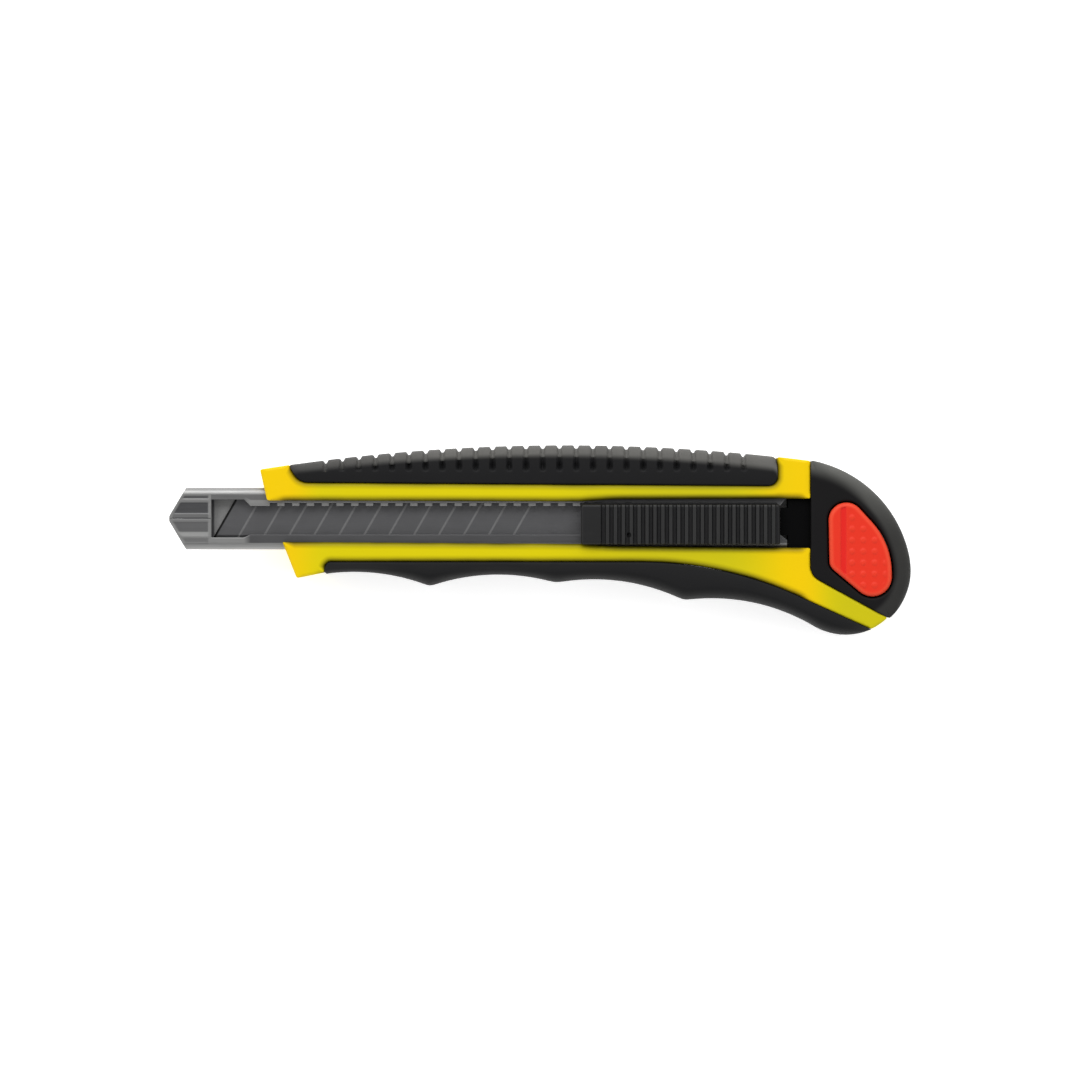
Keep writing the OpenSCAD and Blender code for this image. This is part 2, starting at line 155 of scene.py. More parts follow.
def soften(values, reach, step=STEP):
    """Averages values along a closed outline with a bell curve, by way of the Fourier transform."""
    pitch = np.fft.fftfreq(len(values), step)
    bell = np.exp(-2 * (np.pi * pitch * reach) ** 2)
    shape = (-1,) + (1,) * (values.ndim - 1)
    return np.fft.ifft(np.fft.fft(values, axis=0) * bell.reshape(shape), axis=0).real


def inward(outline):
    """Unit normals that point into an anticlockwise outline."""
    run = np.roll(outline, -1, axis=0) - np.roll(outline, 1, axis=0)
    run /= np.hypot(*run.T)[:, None]
    return np.column_stack([-run[:, 1], run[:, 0]])


def rectangle(x0, x1, y0, y1):
    return np.array([(x0, y0), (x1, y0), (x1, y1), (x0, y1)], float)


# ---------- surfaces ----------

BEND_STEPS = 6
ROOM_SHARE, WIDEST_FLAT = 0.85, 0.5


def room(outline):
    """Radius of the largest circle that touches a closed outline at each point and stays inside it.
    Over all other points, it is the smallest circle that goes through both and is tangent at the first."""
    normal = inward(outline)
    apart = outline[None] - outline[:, None]
    ahead = np.maximum(np.sum(apart * normal[:, None], axis=2), 1e-9)
    radius = np.sum(apart ** 2, axis=2) / (2 * ahead)
    np.fill_diagonal(radius, np.inf)
    return radius.min(axis=1)


def edge_rings(outline, z, radius, side, rise=1.0):
    """A quarter circle carried round an outline, and a narrow flat inside it.
    It starts on the wall and ends on the face at height z. side is 1 for an upper edge and -1 for a lower
    one, and rise stretches it in height. It stays within the outline's room, so its rings never cross.
    The shade is 1 on the wall and 0 on the face."""
    normal = inward(outline)
    radius = np.broadcast_to(radius, len(outline))
    flat = np.minimum(radius, WIDEST_FLAT)
    fit = np.minimum(1, ROOM_SHARE * room(outline) / (radius + flat))
    radius, flat = fit * radius, fit * flat
    turn = np.linspace(0, np.pi / 2, BEND_STEPS + 1)[:, None]
    inset = radius * (1 - np.cos(turn))
    drop = radius * rise * (1 - np.sin(turn))
    inset = np.vstack([inset, radius + 0.5 * flat, radius + flat])
    drop = np.vstack([drop, 0 * flat, 0 * flat])
    xy = outline + inset[..., None] * normal
    return np.dstack([xy, z - side * drop, 1 - inset / (radius + flat)])


def moulded(outline, z0, z1, low, high, rise=1.0):
    """Rings of a plate: its lower edge from the face out, then its upper edge from the wall in."""
    below = edge_rings(outline, z0, low, -1, rise)[::-1]
    return np.concatenate([below, edge_rings(outline, z1, high, 1, rise)])


def towards(rings, centre, steps, end=0.985):
    """Rings that shrink from the last one to a point, all at its height."""
    share = np.linspace(0, end, steps + 1)[1:, None, None]
    goal = np.array([*centre, *rings[-1][:, 2:].mean(axis=0)])
    return np.concatenate([rings, rings[-1] * (1 - share) + goal * share])


def closed(rings, ladder=False):
    """Points and faces of a closed shell: quads between neighbouring rings, and a face over each end.
    With ladder, the ring is a thin wall, and each end is closed with quads between its two sides.
    A point is x, y, z and the shade, the share of its material's second colour."""
    count, around = rings.shape[:2]
    here = np.arange(count - 1)[:, None] * around + np.arange(around)
    beside = np.arange(count - 1)[:, None] * around + (np.arange(around) + 1) % around
    quads = np.stack([here, beside, beside + around, here + around], -1).reshape(-1, 4)
    faces = [quads]
    last = (count - 1) * around
    if ladder:
        out = np.arange(around // 2 - 1)
        end = np.column_stack([out, around - 1 - out, around - 2 - out, out + 1])
        faces += [end, (end + last)[:, ::-1]]
    else:
        faces += [np.arange(around)[::-1][None], (last + np.arange(around))[None]]
    points = rings.reshape(-1, 4)
    if volume(points[:, :3], faces) < 0:
        faces = [group[:, ::-1] for group in faces]
    return points, faces


def volume(points, faces):
    """Signed volume: each face is a fan of triangles, each of which makes a tetrahedron with the origin."""
    total = 0.0
    for group in faces:
        first = points[group[:, :1]]
        second, third = points[group[:, 1:-1]], points[group[:, 2:]]
        total += np.sum(first * np.cross(second, third)) / 6
    return total


def piece(name, shells, body, replaced, material, crease=38):
    """One Blender object from closed shells, smooth except where faces meet at more than crease degrees."""
    mesh = bpy.data.meshes.new(name)
    base, points, corners, starts = 0, [], [], []
    used = 0
    for shell_points, groups in shells:
        points.append(shell_points)
        for group in groups:
            corners.append((group + base).ravel())
            starts.append(used + np.arange(len(group)) * group.shape[1])
            used += group.size
        base += len(shell_points)
    points, corners, starts = map(np.concatenate, (points, corners, starts))
    mesh.vertices.add(len(points))
    mesh.loops.add(len(corners))
    mesh.polygons.add(len(starts))
    mesh.vertices.foreach_set("co", (points[:, :3] * MM).astype(np.float32).ravel())
    mesh.attributes.new("shade", "FLOAT", "POINT").data.foreach_set("value", points[:, 3].astype(np.float32))
    mesh.loops.foreach_set("vertex_index", corners.astype(np.int32))
    mesh.polygons.foreach_set("loop_start", starts.astype(np.int32))
    mesh.update(calc_edges=True)
    mesh.validate()
    made = bpy.data.objects.new(name, mesh)
    bpy.context.scene.collection.objects.link(made)
    mesh.materials.append(material)
    crisp(mesh, crease)
    if body:
        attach(made, body)
    if replaced:
        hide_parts(*replaced)
    return made


def crisp(mesh, crease):
    mesh.shade_smooth()
    mesh.set_sharp_from_angle(angle=np.radians(crease))


def cut(made, shells, crease=38):
    """Takes the space of closed shells out of a piece, and keeps the result as its mesh."""
    cutter = piece("cutter", shells, None, (), made.data.materials[0])
    modifier = made.modifiers.new("cut", "BOOLEAN")
    modifier.object = cutter
    modifier.operation = "DIFFERENCE"
    modifier.solver = "EXACT"
    bpy.context.view_layer.update()
    finished = bpy.data.meshes.new_from_object(made.evaluated_get(bpy.context.evaluated_depsgraph_get()))
    made.modifiers.clear()
    made.data = finished
    crisp(finished, crease)
    bpy.data.objects.remove(cutter)


def rod(x, y, radius, z0, z1, around=48):
    """A plain cylinder, as rings for closed."""
    ring = arc(np.array((x, y)), radius, 0, 360 - 360 / around, around)
    return np.stack([np.column_stack([ring, np.full(around, z), np.zeros(around)]) for z in (z0, z1)])


# ---------- finishes ----------


class Value:
    """A socket of a material whose operators add Math nodes."""

    def __init__(self, finish, socket):
        self.finish = finish
        self.socket = socket

    def math(self, operation, *values):
        inputs = {place: value for place, value in enumerate(values)}
        return self.finish.node("Math", {"operation": operation}, inputs)

    def __add__(self, other):
        return self.math("ADD", self, other)

    def __sub__(self, other):
        return self.math("SUBTRACT", self, other)

    def __rsub__(self, other):
        return self.math("SUBTRACT", other, self)

    def __mul__(self, other):
        return self.math("MULTIPLY", self, other)

    def __mod__(self, other):
        return self.math("FLOORED_MODULO", self, other)

    def __abs__(self):
        return self.math("ABSOLUTE", self)

    __radd__ = __add__
    __rmul__ = __mul__

    def between(self, low, high):
        """0 at low, 1 at high, eased, and held beyond them."""
        settings = {"interpolation_type": "SMOOTHSTEP"}
        return self.finish.node("MapRange", settings, {"Value": self, "From Min": low, "From Max": high})

    def inside(self, low, high, ease):
        """1 between low and high, and 0 outside them."""
        return self.between(low - ease, low) * (1 - self.between(high, high + ease))


class Finish:
    """A material with its shader, and the one method that adds any other node."""

    def __init__(self, name, **constants):
        self.material = bpy.data.materials.new(name)
        self.material.use_nodes = True
        self.tree = self.material.node_tree
        self.shader = self.tree.nodes["Principled BSDF"]
        for socket, value in constants.items():
            self.shader.inputs[socket.replace("_", " ")].default_value = value

    def node(self, kind, settings=None, inputs=None, output=0):
        made = self.tree.nodes.new("ShaderNode" + kind)
        for key, value in (settings or {}).items():
            setattr(made, key, value)
        for key, value in (inputs or {}).items():
            self.join(value, made.inputs[key])
        return Value(self, made.outputs[output])

    def join(self, value, socket):
        if isinstance(value, Value):
            self.tree.links.new(value.socket, socket)
        else:
            socket.default_value = value

    def place(self, stretch=(1, 1, 1)):
        """Object coordinates, stretched along each axis."""
        here = self.node("TexCoord", output=3)
        return self.node("Mapping", None, {"Vector": here, "Scale": stretch})

    def grain(self, size, stretch=(1, 1, 1), detail=2.0):
        """Soft noise about 0.5 whose patches are about size millimetres across."""
        inputs = {"Vector": self.place(stretch), "Scale": 1 / (size * MM), "Detail": detail}
        return self.node("TexNoise", None, inputs)

    def shade(self):
        """The share of the second colour, kept with each point of a piece's mesh."""
        return self.node("Attribute", {"attribute_name": "shade"}, {}, "Fac")

    def axis(self, place):
        """One object coordinate, in millimetres."""
        return self.node("SeparateXYZ", None, {0: self.place((1 / MM,) * 3)}, place)

    def blend(self, share, *colours):
        """Mixes two colours, each a tuple or another node's colour."""
        first, second = (c if isinstance(c, Value) else (*c, 1) for c in colours)
        return self.node("Mix", {"data_type": "RGBA"}, {0: share, 6: first, 7: second}, output=2)

    def relief(self, height, depth, strength=1.0):
        """Bump of that depth in millimetres, on the shader's normal."""
        bump = self.node("Bump", None, {"Height": height, "Distance": depth * MM, "Strength": strength})
        self.feed("Normal", bump)

    def feed(self, socket, value):
        self.join(value, self.shader.inputs[socket])


def moulding(name, colour, shade, second, rough, texture, depth, shine=0.5, shares=()):
    """Moulded plastic or rubber: two close colours in broad patches, eroded grain, and faint handling marks.
    second is the colour painted where the mesh's shade is 1: painted shade along the yellow's edges, a painted
    highlight along the rounded edges of the rubber, the cap and the button's rim, and paler rib tops on the
    pad.
    shares mix in more colours by place."""
    finish = Finish(name, IOR=1.5, Specular_IOR_Level=shine)
    patches = finish.grain(9.0)
    marks = finish.grain(0.9, (0.25, 1, 1), 4.0).between(0.56, 0.72)
    base = finish.blend(patches, colour, shade)
    for part, part_colour in shares:
        base = finish.blend(part(finish), base, part_colour)
    finish.feed("Base Color", finish.blend(finish.shade() * (0.7 + 0.6 * patches), base, second))
    finish.feed("Roughness", rough + 0.12 * (patches - 0.5) + 0.06 * marks)
    finish.relief(finish.grain(texture, detail=3.0), depth)
    return finish.material


def brushed(name, colour, shade, second, rough, depth):
    """Rolled steel: fine lines along the knife in colour, gloss and relief, and a darker second colour where
    the mesh's shade is 1: painted shade on the rail's lips, seam, corners and creases, and the darker finish of
    its pressed panels.
    """
    finish = Finish(name, Metallic=1.0)
    lines = finish.grain(0.18, (0.02, 1, 1), 3.0)
    cloud = finish.grain(5.0)
    metal = finish.blend(0.65 * lines + 0.35 * cloud, colour, shade)
    finish.feed("Base Color", finish.blend(finish.shade(), metal, second))
    finish.feed("Roughness", rough + 0.22 * (lines - 0.5) + 0.1 * (cloud - 0.5))
    finish.relief(lines, depth, 0.5)
    return finish.material


def strips(finish):
    """1 on the narrow strips between the front and rear blocks, and along the heel, where a darker, greener
    yellow is painted as shade: the strips lie beside the proud rubber, which shades them.
    """
    along = finish.axis(0)
    return along.between(-51, -43) * (1 - along.between(34, 54)) + along.between(52, 61)


def rear_strips(finish):
    """1 on the rear half of the strips and along the heel, where the yellow is painted a little greyer, as
    shade.
    """
    along = finish.axis(0)
    return along.between(0, 26) * (1 - along.between(34, 50)) + along.between(54, 62)


def pad_shadow_paint(finish):
    """Painted shadow of the thumb pad on the wide margin of the slot where the pad rests: strongest at the
    slot's edges.
    """
    along, across = finish.axis(0), finish.axis(1)
    margin = across.between(-2.8, -1.2) * (1 - across.between(8.1, 9.5))
    return 0.8 * margin * along.between(8, 18) * (1 - along.between(46, 50))


def button_groove(finish):
    """1 along the groove across the button."""
    return finish.axis(0).inside(60.3, 61.1, 0.3)


# The yellow's second colour is the dark olive of the painted shade along its edges; its shares are painted
# shade as well.
yellow = moulding(
    "yellow_shell", (0.71, 0.47, 0.0), (0.67, 0.45, 0.0), (0.035, 0.03, 0.0),
    0.45, 0.16, 0.008, 0.1,
    (
        # Painted shade: a darker, greener yellow on the strips.
        (strips, (0.545, 0.46, 0.001)),
        # Painted shade: a greyer yellow on the rear half of the strips and along the heel.
        (rear_strips, (0.47, 0.415, 0.004)),
        # Painted shadow of the thumb pad round the slot.
        (pad_shadow_paint, (0.09, 0.08, 0.0)),
    ))
# The rubber's second colour is the paler grey of the painted highlight along its rounded edges.
rubber = moulding(
    "grip_rubber", (0.0055, 0.0055, 0.006), (0.004, 0.004, 0.0045), (0.085, 0.083, 0.078),
    0.62, 0.22, 0.03, 0.16)
# The cap's second colour is the paler grey of the painted highlight along its rounded tail.
cap_black = moulding(
    "cap_plastic", (0.0055, 0.005, 0.0055), (0.004, 0.0038, 0.004), (0.10, 0.10, 0.093),
    0.6, 0.3, 0.025, 0.1)
black = moulding(
    "slider_plastic", (0.0055, 0.0055, 0.006), (0.004, 0.004, 0.0045), (0.017, 0.017, 0.017),
    0.45, 0.2, 0.012, 0.25)
black_block = moulding(
    "tray_plastic", (0.0016, 0.0016, 0.0018), (0.001, 0.001, 0.0012), (0.002, 0.002, 0.002),
    0.5, 0.2, 0.012, 0.04)
# The button's second colour is the lighter red of the painted highlight on its rim and of its paler dots.
red = moulding(
    "button_plastic", (0.63, 0.03, 0.014), (0.61, 0.027, 0.012), (0.68, 0.07, 0.03),
    0.42, 0.2, 0.006, 0.12,
    ((button_groove, (0.60, 0.016, 0.012)),))
# The rail's second colour is the dark steel of painted shade, and of the darker finish of the pressed panels.
rail_steel = brushed(
    "rail_steel", (0.30, 0.30, 0.295), (0.24, 0.24, 0.24), (0.07, 0.07, 0.074), 0.47, 0.01)
spring_steel = brushed(
    "spring_steel", (0.42, 0.41, 0.40), (0.28, 0.28, 0.28), (0.2, 0.2, 0.2), 0.32, 0.008)

SNAP_PITCH = 5
SNAP_RUN = 1 / np.tan(np.radians(60))


def scored_steel(name):
    """Blade steel: dark brushed metal, with a pale burr along each slanted snap line behind the point."""
    finish = Finish(name, Metallic=1.0)
    lines = finish.grain(0.15, (0.03, 1, 1), 3.0)
    cloud = finish.grain(4.0)
    across = (finish.axis(0) - BLADE_LOW[0]) - (finish.axis(1) - BLADE_LOW[1]) * SNAP_RUN
    nearest = abs((across + SNAP_PITCH / 2) % SNAP_PITCH - SNAP_PITCH / 2)
    burr = (1 - nearest.between(0.05, 0.35)) * across.between(2, 3) * (1 - across.between(62, 63))
    metal = finish.blend(0.6 * lines + 0.4 * cloud, (0.19, 0.19, 0.195), (0.125, 0.125, 0.13))
    # Darker along the blade's front edge.
    front_darkened = finish.blend(1 - across.between(0.35, 0.6), metal, (0.02, 0.02, 0.02))
    finish.feed("Base Color", finish.blend(0.55 * burr, front_darkened, (0.42, 0.42, 0.42)))
    finish.feed("Roughness", 0.4 + 0.2 * (lines - 0.5))
    finish.relief(lines, 0.008, 0.5)
    return finish.material


blade_steel = scored_steel("blade_steel")

for node, material in {
    "blade": blade_steel, "spare_blades": blade_steel, "body_screws": spring_steel, "blade_pin": spring_steel,
    "lock_spring": spring_steel, "spring_rivet": spring_steel, "latch_spring": spring_steel,
    "magazine_spring": spring_steel, "magazine_tray": black_block, "slider_carrier": black_block,
}.items():
    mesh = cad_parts[node].data
    mesh.materials.clear()
    mesh.materials.append(material)

# ---------- yellow shells ----------

SEAM_X, SEAM_Y = 54.1, -5.8
HEEL_TIP = (69.53, -15.55)
CAP_SEAM = np.array([(SEAM_X, SEAM_Y), (54.7, -7.2), (55.9, -8.1), HEEL_TIP])
FRONT_TOP = (-56.07, 14.13)
FRONT_KINK = (-54.7, 8.2)
FRONT_END = np.array([(-43.1, -5.2), (-43.1, -6.5), (-48.7, -7.65), (-51.6, -0.4)])


def upper_outline(lower_edge):
    """Upper arm: front block, the edge under the spine grip, rear block, and back along a lower edge."""
    front = np.linspace(FRONT_TOP[0], SPINE_GRIP_X[0], 30)
    middle = np.linspace(SPINE_GRIP_X[0] + 0.05, SPINE_GRIP_X[1], 400)
    rear = np.linspace(SPINE_GRIP_X[1], SEAM_X, 30)
    return np.vstack([
        np.column_stack([front, spine_y(front)]),
        np.column_stack([middle, spine_grip_y(middle) - SEAM_GAP]),
        np.column_stack([rear, spine_y(rear)]),
        lower_edge,
    ])


def heel_edge():
    """From the heel's tip along its arc, then forward over the finger grip to the front end."""
    heel = arc(HEEL, HEEL_R, -45, -64.6, 20)
    forward = np.linspace(FINGER_GRIP_X[1], FINGER_GRIP_X[0] + 0.8, 500)
    return np.vstack([heel, np.column_stack([forward, finger_grip_y(forward) + SEAM_GAP])])


# Painted shade: how strongly the dark olive darkens the yellow's inner edges.
EDGE_SHADE_PAINT = 0.95
INNER_ROUND, OUTER_ROUND = 0.9, 0.6
NEAR_EDGE = 0.25
HEEL_REACH, CAP_REACH, FRONT_REACH = 66, 53, -52
BLOCK_REACH, BLOCK_TOP = -43.7, -1


def shell_plate(points, z0, z1, low, high):
    """A plate whose visible edges have a smaller radius where they follow the outside of the knife.
    The shade is painted shade along the other visible edges, beside the rubber and along the slot, where the
    rounded edges turn from the light and the rubber shades them."""
    outline = soften(resample(points), 0.3)
    x, y = outline.T
    on_heel = (x > HEEL_REACH) & (np.hypot(x - HEEL[0], y - HEEL[1]) > HEEL_R - NEAR_EDGE)
    on_block = (x < BLOCK_REACH) & (y < BLOCK_TOP)
    outside = (spine_y(x) - y < NEAR_EDGE) | on_heel | on_block | (x < FRONT_REACH) | (x > CAP_REACH)
    share = soften(outside.astype(float), 0.8)
    low, high = (r + (OUTER_ROUND - r) * share if r == INNER_ROUND else r for r in (low, high))
    rings = moulded(outline, z0, z1, low, high)
    # Painted shade on the edges beside the rubber and the slot, none on the outside edges.
    rings[..., 3] = EDGE_SHADE_PAINT * rings[..., 3] ** 1.2 * (1 - share)
    return closed(rings)


SLOT_TOP = np.array([(SEAM_X, 8.3), (14, 8.1), (8, 7.7), (-54.6, 7.9), FRONT_KINK])
SLOT_BOTTOM = np.array([(-51.6, -0.35), (8, -0.75), (14, -1.1), (48, -1.5), (SEAM_X, -1.6)])
WALL_TOP = np.array([(SEAM_X, CHANNEL_HIGH), (-55.24, CHANNEL_HIGH)])
WALL_BOTTOM = np.array([(-50.98, CHANNEL_LOW), (SEAM_X, CHANNEL_LOW)])
lower_points = np.vstack([SLOT_BOTTOM, CAP_SEAM, heel_edge(), FRONT_END[:3]])
wall_points = np.vstack([WALL_BOTTOM, CAP_SEAM, heel_edge(), FRONT_END[:3]])
TONGUE_X = (53.5, 60.5)
TONGUE_Y = (-3.6, 11.6)


def block(x0, x1, y0, y1, z0, z1, radius=0.2):
    """A box with softened edges."""
    outline = soften(resample(rectangle(x0, x1, y0, y1)), 0.25)
    return closed(moulded(outline, z0, z1, radius, radius) * np.array((1, 1, 1, 0)))


piece("front_shell_moulding", [
    shell_plate(upper_outline(SLOT_TOP), CHANNEL_TOP, SHELL_TOP, 0.02, INNER_ROUND),
    shell_plate(lower_points, CHANNEL_TOP, SHELL_TOP, 0.02, INNER_ROUND),
    shell_plate(upper_outline(WALL_TOP), SPLIT_Z, CHANNEL_TOP, 0.08, 0.02),
    shell_plate(wall_points, SPLIT_Z, CHANNEL_TOP, 0.08, 0.02),
    block(*TONGUE_X, *TONGUE_Y, CHANNEL_FLOOR + 0.07, 8.8),
    block(*TONGUE_X, TONGUE_Y[0], CHANNEL_LOW, SPLIT_Z + 0.02, CHANNEL_FLOOR + 0.06),
    block(*TONGUE_X, CHANNEL_HIGH, TONGUE_Y[1], SPLIT_Z + 0.02, CHANNEL_FLOOR + 0.06),
], "handle", ["front_shell"], yellow)

back_points = np.vstack([upper_outline(CAP_SEAM), heel_edge(), FRONT_END, [FRONT_KINK]])
back_shell = piece("back_shell_moulding", [
    shell_plate(back_points, SHELL_LOW, SPLIT_Z, INNER_ROUND, 0.08),
    block(-50, SEAM_X - 0.3, RAIL_LOW[1], RAIL_HIGH[1], SPLIT_Z, CHANNEL_FLOOR, 0.02),
    block(*TONGUE_X, TONGUE_Y[0], -1.7, 2.2, SPLIT_Z - 0.02),
    block(*TONGUE_X, 10.3, TONGUE_Y[1], 2.2, SPLIT_Z - 0.02),
], "handle", ["back_shell"], yellow)

# ---------- grips ----------

SPINE_STATIONS, FINGER_STATIONS = 800, 330
END_ROUND = 0.35
EDGE_WIDE, EDGE_HIGH, SEAM_ROUND_MAX = 2.4, 2.8, 0.3
THINNEST = 0.12
GROOVES, FIRST_GROOVE, GROOVE_PITCH = 26, -43, 3.35
GROOVE_HALF, GROOVE_WALL, GROOVE_DEPTH = 0.42, 0.5, 0.65
GROOVE_END, PIT_Y, PIT_DEPTH, PIT_HALF = 14.0, 14.95, 0.4, 0.72
GRIP_CROWN = 0.25
# Painted highlight along the grips' outer edges: its strength on the finger grip and at the front of the spine,
# where it rises, and its bands.
FINGER_HIGHLIGHT, FINGER_BAND = 0.1, (0.3, 2.0)
FRONT_HIGHLIGHT, HIGHLIGHT_RISE = 0.45, (-50, -15)
SPINE_BAND, BAND_DRIFT = (1.4, 2.8), 0.01


def grip_section(low, high, edge, rise, seam, top, bottom):
    """Section of a grip at every station, as arrays of y and z: seam wall, small round, crowned face,
    wide round, outer wall, and the flat along the parting plane. low and high may be either way up."""
    way = np.sign(high - low)[:, None]
    low, high, edge, rise = (v[:, None] for v in (low, high, edge, rise))
    seam, top = seam[:, None], top[:, None]
    small = np.radians(np.linspace(180, 90, 5))[None]
    wide = np.radians(np.linspace(90, 0, 14))[None]
    face = np.linspace(0, 1, 28)[None, 1:-1]
    face_y = (low + way * seam) * (1 - face) + (high - way * edge) * face
    wall = np.linspace(0, 1, 7)[None, 1:]
    y = np.hstack([
        low + 0 * wall[:, :3], low + way * seam * (1 + np.cos(small)), face_y,
        high - way * edge * (1 - np.cos(wide)), high + 0 * wall, (high + low) / 2,
    ])
    wall_top = top - rise
    z = np.hstack([
        bottom + (top - seam - bottom) * np.linspace(0, 0.9, 3)[None], top - seam * (1 - np.sin(small)),
        top + 0 * face_y, top - rise * (1 - np.sin(wide)), wall_top + (bottom - wall_top) * wall,
        bottom + 0 * low,
    ])
    across = np.clip((y - low) / (high - low), 0, 1)
    return y, z - GRIP_CROWN * (2 * across - 1) ** 2 * (z > bottom + 0.1) * np.minimum(1, abs(high - low) / 5)


def grip(low_y, high_y, stations, end_round, grooved):
    """Front half of a grip: its section carried along the knife, drawn in by a quarter circle at both ends."""
    x = stations
    gap = np.minimum(np.minimum(x - x[0], x[-1] - x), end_round)
    inset = end_round - np.sqrt(np.maximum(end_round ** 2 - (end_round - gap) ** 2, 0))
    low, high = low_y(x), high_y(x)
    way = np.sign(high - low)
    width = np.maximum(np.abs(high - low) - 2 * inset, THINNEST)
    middle = (low + high) / 2
    low, high = middle - way * width / 2, middle + way * width / 2
    edge = np.minimum(EDGE_WIDE, 0.5 * width)
    rise = np.minimum(EDGE_HIGH, 0.8 * width)
    seam = np.minimum(SEAM_ROUND_MAX, 0.2 * width)
    y, z = grip_section(low, high, edge, rise, seam, FACE_Z - inset, SPLIT_Z)
    # Painted highlight along the outer edge.
    lighter_share = painted_edge_highlight(x[:, None], np.abs(high[:, None] - y), grooved)
    if grooved:
        y, z = press_grooves(x[:, None], y, z, high[:, None])
    return np.dstack([np.broadcast_to(x[:, None], y.shape), y, z, lighter_share])


def painted_edge_highlight(x, inset, grooved):
    """Painted highlight along the rubber's rounded outer edge: a paler band that fades inwards, strongest over
    the ribs of the spine.
    """
    if not grooved:
        return FINGER_HIGHLIGHT * (1 - smooth_step(*FINGER_BAND, inset))
    strength = FRONT_HIGHLIGHT + (1 - FRONT_HIGHLIGHT) * smooth_step(*HIGHLIGHT_RISE, x)
    return strength * (1 - smooth_step(*SPINE_BAND, inset - BAND_DRIFT * x))


def press_grooves(x, y, z, high):
    """Grooves across the spine: in from the edge, and down into the face as far as a deeper rounded pit."""
    order = np.clip(np.round((x - FIRST_GROOVE) / GROOVE_PITCH), 0, GROOVES - 1)
    away = np.abs(x - FIRST_GROOVE - order * GROOVE_PITCH)
    groove = 1 - smooth_step(GROOVE_HALF - GROOVE_WALL / 2, GROOVE_HALF + GROOVE_WALL / 2, away)
    inside = np.clip((high - y) / EDGE_WIDE, 0, 1)
    side = np.sqrt(1 - inside ** 2)
    face = smooth_step(GROOVE_END - 0.4, GROOVE_END + 0.4, y)
    pit = PIT_DEPTH * np.exp(-((y - PIT_Y) / 0.6) ** 2)
    valley = np.maximum(1 - away / PIT_HALF, 0)
    down = smooth_step(SPLIT_Z + 0.5, FACE_Z - 2, z)
    sunk = (GROOVE_DEPTH + pit) * valley * face * down * (1 - 0.6 * side)
    return y - GROOVE_DEPTH * groove * side, z - sunk


def back_half(rings):
    """The same half, turned over about the parting plane."""
    turned = rings.copy()
    turned[..., 2] = 2 * SPLIT_Z - turned[..., 2]
    return turned


def spine_edge(x):
    """Spine arc, with a rounded corner at the rear end of the grip."""
    corner = 1.1
    over = np.clip(x - SPINE_GRIP_X[1] + corner, 0, corner)
    return spine_y(x) - (corner - np.sqrt(np.maximum(corner ** 2 - over ** 2, 0)))


def finger_edge(x):
    """Upper edge of the finger grip, with its front corner cut."""
    return finger_grip_y(x) - np.maximum(0.8 - (x - FINGER_GRIP_X[0]), 0)


def rubber_grip(name, rings, node):
    return piece(name, [closed(rings)], "handle", [node], rubber)


spine_rings = grip(spine_grip_y, spine_edge, np.linspace(*SPINE_GRIP_X, SPINE_STATIONS), END_ROUND, True)
finger_rings = grip(finger_edge, belly_y, np.linspace(*FINGER_GRIP_X, FINGER_STATIONS), END_ROUND, False)
rubber_grip("spine_grip_ribs_front", spine_rings, "spine_grip_front")
spine_back = rubber_grip("spine_grip_ribs_back", back_half(spine_rings), "spine_grip_back")
rubber_grip("finger_grip_pad_front", finger_rings, "finger_grip_front")
rubber_grip("finger_grip_pad_back", back_half(finger_rings), "finger_grip_back")

SCREWS = [(-29, 13), (9, 13.9), (40, 13), (47, -6.2)]
HEAD_R, HEAD_Z = 2.0, 2.5
cut(spine_back, [closed(rod(x, y, HEAD_R, -1, HEAD_Z)) for x, y in SCREWS[:3]])
cut(back_shell, [closed(rod(x, y, HEAD_R, -1, HEAD_Z)) for x, y in SCREWS])

# ---------- blade rail ----------

SHEET, BEND = 0.7, 1.3
NOSE_FLAT, SHOULDER_X, FLAP_END, WINDOW_END = 0.5, -70.9, -65.9, -59.3
LIP_Y, TOOTH_TIP, TOOTH_ROOT = 1.1, 6.8, 7.45
FIRST_TOOTH, TOOTH_PITCH, TOOTH_HALF, TEETH = -54.86, 2.96, 0.725, 26
LIP_ROUND, SEAM_ROUND = 0.12, 0.03
SEAM_HALF = 0.004

# Pressed flaps of the nose: distance from the middle line, height, and how dark the steel is painted there:
# partly the darker finish of the pressed panels, partly painted shade in the seam and along the creases
FLAP_FORM = np.array([
    (-5.3, 0, 0), (-4.9, 0, 0.3), (-4.7, -0.02, 0.41), (-4.1, -0.02, 0.41), (-3.9, 0.02, 0.1),
    (-3.6, 0.03, 0),
    (-2.75, -0.05, 0), (-2.55, -0.05, 0.63), (-0.75, -0.05, 0.63), (-0.6, 0, 0.2), (-0.15, 0, 0.2),
    (-0.05, -0.02, 0.9), (0.1, -0.02, 0.9), (0.2, 0, 0.51), (0.95, -0.01, 0.51), (1.1, -0.07, 0.93),
    (3.15, -0.07, 0.93), (3.35, 0, 0.1), (3.9, 0, 0), (4.05, -0.05, 0.8), (4.4, -0.05, 0.83), (4.6, 0, 0.3),
    (4.8, 0, 0), (5.3, 0, 0),
])
NOSE_LENGTH = 7.5

# How much painted shade darkens the lips: the lower one, the upper one beside the pad and at the window, and
# the nose's seam
LOW_LIP_SHADE, PAD_LIP_SHADE, HIGH_LIP_SHADE, SEAM_SHADE = 0.85, 0.8, 0.5, 0.9
LOW_LIP_Y, PAD_LIP_Y, HIGH_LIP_Y = (-0.6, 1.3), (TOOTH_TIP + 0.2, 9), (8, 9.1)
PAD_LIP_X, HIGH_LIP_X = (7, 13), (FLAP_END, -50)
SEAM_NEAR = 0.12


